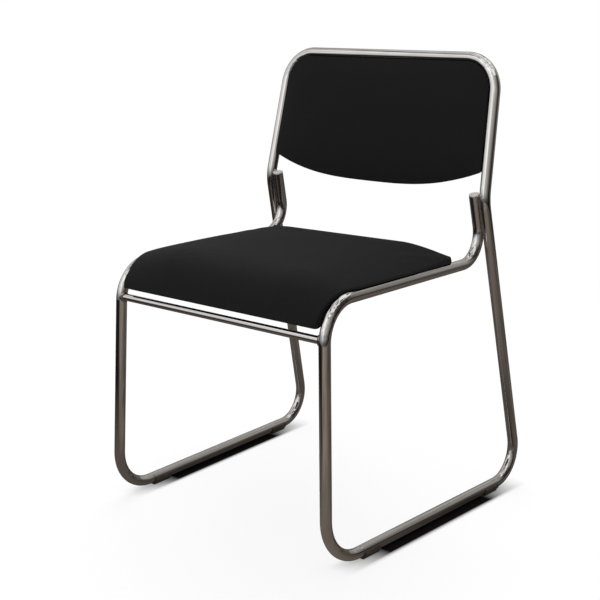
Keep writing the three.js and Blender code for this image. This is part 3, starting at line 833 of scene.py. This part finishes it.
def seatLayer(lap, height, skirt, crowned=False):
    def layer(column, row):
        x, distance = seatPlace(column, row, lap)
        level = height + (seatRise(x, distance) if crowned else 0)
        inside = min(seatHalf(distance) - abs(x), distance, seatPad["length"] - distance)
        if height < 0 and inside > seatPad["lip"]:
            level = seatPad["liningLevel"]
        if lap > 0:
            level = max(level, overRail(abs(x) - railAxisX(distance), seatPad["lapGap"]))
        overside, overend = pastEdge(column, row, skirt)
        return onSeat(-x, distance, level), -x - overside, distance + overend
    return layer


backPad = {
    "origin": Vector((0, 0.156385, 0.539)),
    "up": Vector((0, 0.20329, 0.97912)),
    "backward": Vector((0, 0.97912, -0.20329)),
    "uprightLength": 0.24103,
    "bottom": 0.04392,
    "top": 0.23043,
    "bow": 0.031,
    "bowPower": 2.9,
    "boardRear": 0.008,
    "sideGap": 0.0011,
    "edgeHeight": 0.016,
    "crown": 0.0076,
    "dome": 0.003,
    "span": 0.055,
    "topCorner": 0.0486,
    "lowerCorner": 0.016,
    "draw": 0.001,
    "rings": [(0, -0.0014), (0, 0.004), (0.0004, 0.0104), (0.0022, 0.0140)],
    "edgeLap": 0.0032,
    "columns": 92,
    "rows": 52,
}


def backPlace(column, row, lap):
    bottom = backPad["bottom"] - backPad["bow"] * (1 - abs(column) ** backPad["bowPower"]) - lap
    top = backPad["top"] + lap
    along = bottom + (top - bottom) * row
    upShare = along / backPad["uprightLength"]
    spread = corners["knee"].x + (corners["topCorner"].x - corners["knee"].x) * upShare
    half = spread - tubing["radius"] - backPad["sideGap"] - drawnBy(row, backPad["draw"]) + lap
    cut = roundedBy(along - bottom, backPad["lowerCorner"]) + roundedBy(top - along, backPad["topCorner"])
    return column * (half - cut), along, half, bottom, top


def backLayer(lap, height, skirt, crowned=False):
    def layer(column, row):
        x, along, half, bottom, top = backPlace(column, row, lap)
        level = height
        if crowned:
            ends = rimRise(min(along - bottom, top - along), backPad["span"])
            flanks = rimRise(half - abs(x), backPad["span"])
            level += backPad["crown"] * ends * flanks
            level += backPad["dome"] * (1 - column ** 2) * drawnBy(row, 1)
        spot = backPad["origin"] + backPad["up"] * along
        spot += backPad["backward"] * (backPad["boardRear"] - level)
        overside, overend = pastEdge(column, row, skirt)
        return Vector((x, spot.y, spot.z)), x + overside, along + overend
    return layer


# Swells a pad's free cloth over its foam, and keeps each point near its place
filling = {
    "frames": 12,
    "mostMove": 0.0022,
    "pinnedHeight": 0.012,
    "tubeGap": 0.0004,
    "settings": {
        "quality": 4,
        "mass": 0.25,
        "tension_stiffness": 25,
        "compression_stiffness": 25,
        "shear_stiffness": 12,
        "bending_stiffness": 2,
        "use_pressure": True,
        "uniform_pressure_force": 0.35,
    },
}
tiny = 1e-6


# Moves points that lie too near a tube's axis straight away from it
def clearOfTubes(spots):
    least = tubing["radius"] + filling["tubeGap"]
    for axis in axes:
        for start, end in zip(axis, axis[1:]):
            start = np.array(start)
            run = np.array(end) - start
            share = np.clip((spots - start) @ run / (run @ run), 0, 1)
            away = spots - (start + share[:, None] * run)
            length = np.linalg.norm(away, axis=1)
            near = length < least
            pushed = (least - length[near]) / np.maximum(length[near], tiny)
            spots[near] += away[near] * pushed[:, None]
    return spots


def plumped(piece, heightOf):
    mesh = piece.data
    rest = np.array([vert.co for vert in mesh.vertices])
    held = [vert.index for vert in mesh.vertices if heightOf(vert.co) < filling["pinnedHeight"]]
    pins = piece.vertex_groups.new(name="held")
    pins.add(held, 1.0, "REPLACE")
    cloth = piece.modifiers.new("cloth", "CLOTH")
    for setting, value in filling["settings"].items():
        setattr(cloth.settings, setting, value)
    cloth.settings.effector_weights.gravity = 0
    cloth.settings.vertex_group_mass = pins.name
    cloth.collision_settings.use_collision = False
    for step in range(1, filling["frames"] + 1):
        scene.frame_set(step)
    swollen = piece.evaluated_get(bpy.context.evaluated_depsgraph_get())
    shift = np.array([vert.co for vert in swollen.data.vertices]) - rest
    piece.modifiers.remove(cloth)
    piece.vertex_groups.remove(pins)
    scene.frame_set(1)
    length = np.linalg.norm(shift, axis=1, keepdims=True)
    shift *= np.minimum(1, filling["mostMove"] / np.maximum(length, tiny))
    print(piece.name, "moved by up to", round(float(length.max()) * 1000, 2), "mm before the cap")
    mesh.vertices.foreach_set("co", clearOfTubes(rest + shift).ravel())
    mesh.update()
    smooth = piece.modifiers.new("smooth", "SUBSURF")
    smooth.levels = 1
    smooth.render_levels = 1


def seatHeight(point):
    if point.y > seatPad["bendY"]:
        return point.z - seatPad["boardHeight"]
    return math.hypot(point.y - seatPad["bendY"], point.z - seatPad["bendHeight"]) - seatPad["lineRadius"]


def backHeight(point):
    return backPad["boardRear"] - (point - backPad["origin"]).dot(backPad["backward"])


seatForm = paddedForm(seatPad, seatLayer)
seatCushion = addPiece("seat_pad", seatForm, fabric, ["seat_cover", "seat_foam"], 180)
plumped(seatCushion, seatHeight)
backForm = paddedForm(backPad, backLayer)
backCushion = addPiece("back_pad", backForm, fabric, ["back_cover", "back_foam"], 180)
plumped(backCushion, backHeight)
print("pads made")

# Socket screws in the straps and tabs, each in its solid's place
screw = {
    "sides": 36,
    "radius": 0.0060,
    "topRadius": 0.00472,
    "height": 0.0034,
    "rim": 0.0018,
    "socket": 0.0023,
    "socketSides": 6,
    "socketDepth": 0.0019,
    "shank": 0.0028,
    "shankLength": 0.010,
}
screwPlaces = {"seat": ("front", "rear"), "back": ("lower", "upper")}


# A socket, the head round it and a shank, from the middle of the head's top
def socketScrew(head, heading):
    build = bmesh.new()
    place = facing(heading, head)
    addCircle(build, screw["socketSides"], screw["socket"], place)
    mouth = list(build.edges)
    verts, floor = grow(build, mouth, heading * screw["socketDepth"])
    bmesh.ops.holes_fill(build, edges=floor, sides=0)
    rim = addCircle(build, screw["sides"], screw["topRadius"], place)
    ring = unique(edge for vert in rim for edge in vert.link_edges)
    bmesh.ops.bridge_loops(build, edges=mouth + ring)
    profile = [
        (screw["radius"], screw["height"] - screw["rim"]),
        (screw["radius"], screw["height"]),
        (screw["shank"], screw["height"]),
        (screw["shank"], screw["height"] + screw["shankLength"]),
    ]
    for radius, rise in profile:
        verts, ring = grow(build, ring)
        for vert in verts:
            spot = vert.co - head
            outward = spot - heading * spot.dot(heading)
            vert.co = head + outward.normalized() * radius + heading * rise
    bmesh.ops.holes_fill(build, edges=ring, sides=0)
    return build


for pad, heading in (("seat", Vector((0, 0, 1))), ("back", -backPad["backward"])):
    spread = Vector((abs(heading.x), abs(heading.y), abs(heading.z)))
    radial = screw["radius"] * spread.y * spread.z * 2
    for side in sideSigns:
        for place in screwPlaces[pad]:
            node = f"{pad}_screw_{side}_{place}"
            low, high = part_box(node)
            # The head lies at the end away from the pad
            halfLength = ((high - low) / 2).dot(spread) / spread.dot(spread)
            head = (low + high) / 2 - heading * (halfLength - radial)
            build = socketScrew(head, heading)
            addPiece(f"{pad}_bolt_{side}_{place}", build, zinc, [node])
print("screws made")

# Weld beads along the ends of the straps and tabs
plateBeads = bmesh.new()
for side, sign in sideSigns.items():
    for place in ("front", "rear"):
        low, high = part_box(f"seat_strap_{place}")
        at = Vector((high.x if sign > 0 else low.x, (low.y + high.y) / 2, low.z))
        length = (high.y - low.y) * welds["strapShare"]
        addBead(plateBeads, at, Vector((0, 1, 0)), length, welds["plateBead"])
    for place in ("lower", "upper"):
        low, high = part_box(f"back_tab_{side}_{place}")
        at = (low + high) / 2 - backPad["backward"] * welds["plateBead"]
        at.x = high.x if sign > 0 else low.x
        length = (high.z - low.z) * welds["tabShare"]
        addBead(plateBeads, at, backPad["up"], length, welds["plateBead"])
addPiece("plate_welds", plateBeads, weldMetal)

# Staples that hold the linings
staple = {
    "crown": 0.0105,
    "wire": 0.0009,
    "depth": 0.0005,
    "edgeRound": 0.00015,
    "spacing": 0.031,
    "inset": 0.0205,           # from the pad's edge
    "slant": 0.14,
    "slantStep": 2.3,
    "aimShare": 0.01,
    "seatLevel": -0.0015,
    "backLevel": 0.0095,
    "backSideLength": 0.125,
    "backSideStartShare": 0.15,
    "backSideShare": 0.6,
    "backEndLength": 0.350,
    "backEndShare": 0.86,
}
stapled = bmesh.new()
stapleCount = 0


def addStaple(at, along, outward):
    global stapleCount
    stapleCount += 1
    slant = Matrix.Rotation(staple["slant"] * math.sin(staple["slantStep"] * stapleCount), 4, outward)
    across = outward.cross(along).normalized()
    turned = Matrix((along.normalized(), across, outward)).transposed().to_4x4()
    size = Matrix.Diagonal((staple["crown"], staple["wire"], staple["depth"], 1))
    wire = bmesh.ops.create_cube(stapled, size=1)["verts"]
    bmesh.ops.transform(stapled, matrix=Matrix.Translation(at) @ slant @ turned @ size, verts=wire)


# Evenly spaced staples, from a function that gives the place and facing at a share of the way
def stapleRow(length, placeOf):
    count = round(length / staple["spacing"])
    for index in range(count):
        share = (index + 0.5) / count
        at, outward = placeOf(share)
        along = placeOf(share + staple["aimShare"])[0] - placeOf(share - staple["aimShare"])[0]
        addStaple(at, along, outward)


inset = staple["inset"]
seatRun = seatPad["length"] - 2 * inset


def underSeat(x, distance):
    angle = max(0, distance - seatStraight) / seatPad["lineRadius"]
    return onSeat(x, distance, staple["seatLevel"]), Vector((0, math.sin(angle), -math.cos(angle)))


def underSeatSide(sign, distance):
    return underSeat(sign * (seatHalf(distance) - inset), distance)


def behindBack(column, row):
    x, along = backPlace(column, row, -inset)[:2]
    behind = backPad["backward"] * staple["backLevel"]
    return backPad["origin"] + backPad["up"] * along + behind + Vector((x, 0, 0)), backPad["backward"]


def behindBackSide(sign, share):
    return behindBack(sign, staple["backSideStartShare"] + staple["backSideShare"] * share)


for sign in sideSigns.values():
    stapleRow(seatRun, lambda share: underSeatSide(sign, inset + seatRun * share))
for distance in (inset, seatPad["length"] - inset):
    half = seatHalf(distance) - 2 * inset
    stapleRow(2 * half, lambda share: underSeat(half * (2 * share - 1), distance))
for sign in sideSigns.values():
    stapleRow(staple["backSideLength"], lambda share: behindBackSide(sign, share))
for row in (0, 1):
    stapleRow(staple["backEndLength"],
              lambda share: behindBack(staple["backEndShare"] * (2 * share - 1), row))
bevelEdges(stapled, list(stapled.edges), staple["edgeRound"], 1)
addPiece("lining_staples", stapled, zinc)
print("plate welds and staples made:", stapleCount, "staples")

# Solids that stay as they are, in the scene's finishes
stayed = {
    "board": plywood,
    "nut": zinc,
    "ferrule": zinc,
    "strap": chromePlate,
    "tab": chromePlate,
    "panel": lining,
}
for name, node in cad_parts.items():
    for part, material in stayed.items():
        if part in name:
            for slot in node.material_slots:
                slot.material = material
print("kept solids finished")

# Camera, floor and light
view = {
    "lens": 72.5,
    "sensorWidth": 36,
    "place": (1.3160, -1.6113, 0.8623),
    "tilt": math.radians(76.29),
    "turn": math.radians(40.026),
}
camera = bpy.data.objects.new("camera", bpy.data.cameras.new("camera"))
camera.data.lens = view["lens"]
camera.data.sensor_width = view["sensorWidth"]
camera.location = view["place"]
camera.rotation_euler = (view["tilt"], 0, view["turn"])
scene.collection.objects.link(camera)
scene.camera = camera

studio = {
    "floorSize": 30.0,
    "floorColour": (0.97, 0.97, 0.97),
    "floorGlow": 0.74,
    "glowRange": (0.8, 2.0),          # distances over which the floor turns plain white
    "worldLight": 0.74,
    "lamps": {                        # place, size and power
        "key": ((-2.5, 2.9, 4.7), 4.5, 168.0),
        "fill": ((0.9, -1.4, 5.8), 5.0, 60.0),
    },
    "lampTarget": (0.0, 0.0, 0.3),
    "cardRadius": 2.6,
    "cardLift": 0.0005,
    "cardHeight": 3.3,
    "cardSides": 96,
    # colour of the shadow painted on the floor beside the runners
    "paintedShadowTone": (0.008, 0.007, 0.007),
    "paintedShadow": (0.0055, 0.027),       # shift and reach of the painted shadow
    "shadowFullShare": 0.6,
    "shadowFront": (0.02, 0.135),    # fades in over these distances behind the front foot
    "shadowRear": 0.12,
    "mirrored": (0.020, 0.075),       # the same, for the shadow painted on the floor card that the runners mirror
    # how much that painted shadow darkens the floor card
    "mirroredShade": 0.60,
    "closeTone": (0.122, 0.104, 0.090),
    "closeShare": 0.78,
    "closeRange": (0.62, 1.15),       # distances over which the mirrored floor loses that tone
    "patches": (1.3, 3.0, 0.6),       # blotches in the mirrored room: scale, detail, roughness
    "patchRange": (0.38, 0.52),
    "darkestPatch": 0.55,
    "darkestCeiling": 0.04,
    "wallFoot": 0.15,                 # share of the wall card's light below the range's heights
    "wallRange": (0.15, 1.0),
}


def seenRays(finish):
    camera = finish.node("LightPath", output="Is Camera Ray")
    glossy = camera.output("Is Glossy Ray")
    through = camera.output("Is Transmission Ray")
    return camera.sum("MAXIMUM", glossy).sum("MAXIMUM", through)


def stageForm(name, build, material):
    form = newForm(name, build, material)
    return form


# A mask beside each runner for a shadow painted into the floor's colour, where hardly any light gets in
# under the tube
def paintedShadowMask(finish, where, sign, shift, reach):
    front = mirrored(corners["frontFoot"], sign)
    rear = mirrored(corners["rearFoot"], sign)
    slope = (rear.x - front.x) / (rear.y - front.y)
    x = finish.node("SeparateXYZ", {}, {0: where})
    y = x.output(1)
    beside = x - y * slope - (front.x - front.y * slope) - shift
    across = finish.ranged(beside.sum("ABSOLUTE"), 1.0, 0.0, reach * studio["shadowFullShare"], reach)
    fadeFrom, fadeTo = studio["shadowFront"]
    ahead = finish.ranged(y, 0.0, 1.0, front.y + fadeFrom, front.y + fadeTo)
    behind = finish.ranged(y, 1.0, 0.0, rear.y - studio["shadowRear"], rear.y)
    return across * ahead * behind


# The painted shadow beside both runners
def paintedRunnerShadows(finish, where, shift, reach):
    left, right = [paintedShadowMask(finish, where, sign, shift, reach) for sign in sideSigns.values()]
    return left.sum("MAXIMUM", right)


def distanceOf(finish, where):
    return finish.node("VectorMath", {"operation": "LENGTH"}, {0: where}, output=1)


floorFinish = Finish("pale_floor")
seen = seenRays(floorFinish)
where = floorFinish.spot()
faded = floorFinish.ranged(distanceOf(floorFinish, where), studio["floorGlow"], 1.0, *studio["glowRange"])
paintedShadow = paintedRunnerShadows(floorFinish, where, *studio["paintedShadow"])
# Painted shadow: the floor's colour turns dark beside the runners, and the white glow stays off there
tone = floorFinish.blend(paintedShadow, studio["floorColour"], studio["paintedShadowTone"])
plain = floorFinish.node("BsdfDiffuse", {}, {"Color": tone})
white = floorFinish.node("Emission", {}, {"Color": (1, 1, 1, 1), "Strength": 1.0})
glow = seen * faded * (1 - paintedShadow)
paleFloor = floorFinish.end(floorFinish.node("MixShader", {}, {0: glow, 1: plain, 2: white}))
build = bmesh.new()
bmesh.ops.create_grid(build, x_segments=1, y_segments=1, size=studio["floorSize"] / 2)
stageForm("floor", build, paleFloor)

world = bpy.data.worlds.new("studio")
world.use_nodes = True
scene.world = world
sky = Finish("studio", world.node_tree)
seen = seenRays(sky)
strength = sky.ranged(seen, studio["worldLight"], 1.0)
backdrop = sky.node("Background", {}, {"Color": (1, 1, 1, 1), "Strength": strength})
sky.node("OutputWorld", {}, {"Surface": backdrop})

for name, (place, size, power) in studio["lamps"].items():
    lamp = bpy.data.lights.new(name, "AREA")
    lamp.shape = "SQUARE"
    lamp.size = size
    lamp.energy = power
    holder = bpy.data.objects.new(name, lamp)
    holder.location = place
    aim = Vector(studio["lampTarget"]) - Vector(place)
    holder.rotation_euler = aim.to_track_quat("-Z", "Y").to_euler()
    holder.visible_glossy = False
    scene.collection.objects.link(holder)

# Cards round the chair that only the metal sees, in the browns and greys of a room
floorCardTones = [
    (0.00, (0.050, 0.042, 0.036)),
    (0.07, (0.014, 0.011, 0.009)),
    (0.215, (0.018, 0.014, 0.012)),
    (0.265, (0.235, 0.196, 0.166)),
    (0.31, (0.300, 0.255, 0.220)),
    (0.37, (0.260, 0.220, 0.188)),
    (0.46, (0.150, 0.124, 0.105)),
    (0.54, (0.085, 0.070, 0.060)),
    (0.60, (0.120, 0.104, 0.092)),
    (0.84, (0.125, 0.112, 0.101)),
    (0.90, (0.070, 0.061, 0.055)),
    (0.96, (0.050, 0.042, 0.036)),
]
wallCardTones = [
    (0.00, (0.66, 0.66, 0.66)),
    (0.05, (0.80, 0.80, 0.80)),
    (0.11, (0.92, 0.92, 0.92)),
    (0.16, (1.20, 1.20, 1.20)),
    (0.24, (1.22, 1.22, 1.22)),
    (0.29, (0.80, 0.79, 0.78)),
    (0.35, (0.57, 0.56, 0.55)),
    (0.40, (0.38, 0.365, 0.35)),
    (0.46, (0.28, 0.265, 0.25)),
    (0.51, (0.07, 0.063, 0.057)),
    (0.58, (0.035, 0.031, 0.028)),
    (0.615, (0.13, 0.124, 0.118)),
    (0.64, (0.26, 0.25, 0.24)),
    (0.69, (0.38, 0.37, 0.355)),
    (0.86, (0.43, 0.42, 0.405)),
    (0.945, (0.44, 0.43, 0.42)),
    (0.985, (0.60, 0.59, 0.58)),
]
ceilingCardTones = [
    (0.00, (0.72, 0.72, 0.72)),
    (0.15, (0.85, 0.85, 0.85)),
    (0.30, (1.05, 1.05, 1.05)),
    (0.80, (1.05, 1.05, 1.05)),
    (0.93, (0.64, 0.63, 0.62)),
]


def cardFinish(name, tones, lowest=1.0, darkest=studio["darkestPatch"], shaded=False):
    finish = Finish(name)
    where = finish.spot()
    x = finish.node("SeparateXYZ", {}, {0: where})
    bearing = x.output(1).sum("ARCTAN2", x) * (1 / fullTurn) + 0.5
    tone = finish.node("ValToRGB", {"stops": tones}, {0: bearing})
    patches = finish.noise(where, *studio["patches"])
    strength = finish.ranged(x.output(2), lowest, 1.0, *studio["wallRange"])
    strength = strength * finish.ranged(patches, darkest, 1.0, *studio["patchRange"])
    if shaded:
        reach = distanceOf(finish, where)
        close = finish.ranged(reach, studio["closeShare"], 0.0, *studio["closeRange"])
        tone = finish.blend(close, tone, studio["closeTone"])
        # Painted shadow on the floor card beside the runners, seen in the metal's reflections
        mirroredShadowMask = paintedRunnerShadows(finish, where, *studio["mirrored"])
        strength = strength * (1 - mirroredShadowMask * studio["mirroredShade"])
    return finish.end(finish.node("Emission", {}, {"Color": tone, "Strength": strength}))


# A card that only reflections see
def addCard(name, build, material):
    card = stageForm(name, build, material)
    for kind in ("camera", "diffuse", "shadow", "transmission"):
        setattr(card, f"visible_{kind}", False)


def cardCircle(height, filled=True):
    build = bmesh.new()
    addCircle(build, studio["cardSides"], studio["cardRadius"], Matrix.Translation((0, 0, height)), filled)
    return build


floorCard = cardCircle(studio["cardLift"])
addCard("floor_card", floorCard, cardFinish("floor_card", floorCardTones, shaded=True))
wallCard = cardCircle(0, filled=False)
grow(wallCard, list(wallCard.edges), (0, 0, studio["cardHeight"]))
addCard("wall_card", wallCard, cardFinish("wall_card", wallCardTones, studio["wallFoot"]))
ceilingCard = cardCircle(studio["cardHeight"])
ceilingFinish = cardFinish("ceiling_card", ceilingCardTones, darkest=studio["darkestCeiling"])
addCard("ceiling_card", ceilingCard, ceilingFinish)
print("stage set")
